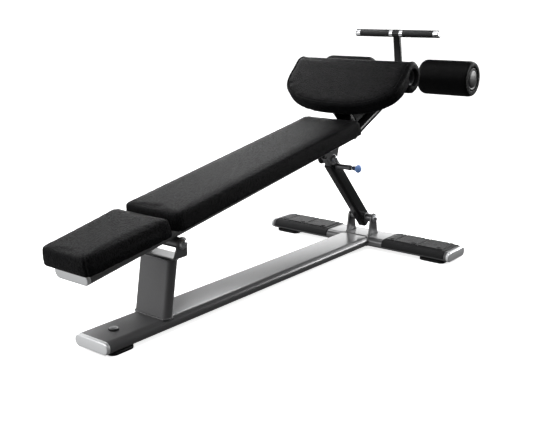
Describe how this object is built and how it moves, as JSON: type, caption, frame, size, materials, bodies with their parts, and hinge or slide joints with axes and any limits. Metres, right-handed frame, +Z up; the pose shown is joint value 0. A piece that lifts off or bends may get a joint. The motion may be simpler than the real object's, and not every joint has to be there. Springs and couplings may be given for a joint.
{
  "type": "adjustable weight bench",
  "caption": "Decline weight bench on a T-shaped base: head and back pads, thigh roll, foam foot rollers, T-handle and a telescoping strut with a pull pin that sets the slope.",
  "frame": {"origin": "bottom centre of the whole bench's bounding box, on the floor", "axes": "+X runs along the base from the low head end to the foot rollers, +Y to the left, +Z up"},
  "size_m": [1.8294, 0.848, 0.8585],
  "materials": {
    "graphite_paint": "satin",
    "light_graphite_paint": "satin",
    "silver_cap": "satin",
    "chrome": "polished",
    "steel": "satin",
    "black_rubber": "matte",
    "black_plastic": "satin",
    "black_vinyl": "satin",
    "black_foam": "matte",
    "plywood": "matte",
    "blue_knob": "gloss",
    "bronze_bush": "satin"
  },
  "bodies": {
    "base": {"base_main_tube": "graphite_paint", "base_front_cap": "silver_cap", "base_top_plug": "black_rubber", "base_cross_tube": "graphite_paint", "cross_cap_left": "silver_cap", "cross_cap_right": "silver_cap", "cross_foot_left": "black_rubber", "cross_foot_right": "black_rubber", "front_foot": "black_rubber", "step_cover_left": "black_rubber", "step_cover_right": "black_rubber", "front_post": "graphite_paint", "post_yoke": "graphite_paint", "main_pivot_bolt": "steel", "main_pivot_nut": "steel", "strut_ear_left": "graphite_paint", "strut_ear_right": "graphite_paint", "strut_lower_bolt": "steel", "strut_lower_nut": "steel"},
    "strut_outer": {"strut_lower_sleeve": "light_graphite_paint", "strut_outer_tube": "graphite_paint", "strut_bottom_plug": "black_plastic", "strut_guide_bush": "black_plastic", "pop_pin_housing": "light_graphite_paint", "pop_pin_spring": "steel"},
    "pin": {"pop_pin_plunger": "steel", "pop_pin_knob": "blue_knob"},
    "strut_inner": {"strut_inner_tube": "light_graphite_paint"},
    "bench": {"bench_tube": "graphite_paint", "bench_head_cap": "silver_cap", "support_tube": "graphite_paint", "support_end_cap": "black_plastic", "main_pivot_sleeve": "graphite_paint", "main_bush_left": "bronze_bush", "main_bush_right": "bronze_bush", "upper_bracket": "graphite_paint", "upper_bolt": "steel", "upper_nut": "steel", "head_pad_board": "plywood", "head_pad_cushion": "black_vinyl", "back_pad_board": "plywood", "back_pad_cushion": "black_vinyl", "thigh_pad_cushion": "black_vinyl", "thigh_pad_shell": "light_graphite_paint", "thigh_pad_bracket": "graphite_paint", "roller_axle": "light_graphite_paint", "handle_post": "graphite_paint", "handle_hub": "graphite_paint", "handle_bar": "chrome", "grip_left": "black_rubber", "grip_right": "black_rubber", "handle_cap_left": "chrome", "handle_cap_right": "chrome"},
    "roller_left": {"roller_foam_left": "black_foam", "roller_core_left": "black_plastic", "roller_cap_left": "black_plastic"},
    "roller_right": {"roller_foam_right": "black_foam", "roller_core_right": "black_plastic", "roller_cap_right": "black_plastic"}
  },
  "joints": [
    {"name": "bench_tilt", "type": "hinge", "parent": "base", "child": "bench", "pos_m": [-0.53239, 0, 0.272], "axis": [0, -1, 0], "range_deg": [0, 12]},
    {"name": "strut_swing", "type": "hinge", "parent": "base", "child": "strut_outer", "pos_m": [0.60061, 0, 0.115], "axis": [0, -1, 0], "range_deg": [-10, 0]},
    {"name": "strut_extend", "type": "slide", "parent": "strut_outer", "child": "strut_inner", "axis": [-0.678, 0, 0.7351], "range_m": [0, 0.168]},
    {"name": "pop_pin_pull", "type": "slide", "parent": "strut_outer", "child": "pin", "axis": [0, -1, 0], "range_m": [0, 0.012], "stiffness_N_per_m": 800, "springref_m": -0.006},
    {"name": "roller_left_spin", "type": "hinge", "parent": "bench", "child": "roller_left", "pos_m": [0.84574, 0, 0.67401], "axis": [0, 1, 0], "continuous": true},
    {"name": "roller_right_spin", "type": "hinge", "parent": "bench", "child": "roller_right", "pos_m": [0.84574, 0, 0.67401], "axis": [0, 1, 0], "continuous": true}
  ],
  "couplings": [
    {"joint": "strut_swing", "follows": "bench_tilt", "ratio": -0.8281},
    {"joint": "strut_extend", "follows": "bench_tilt", "m_per_rad": 0.7934}
  ]
}
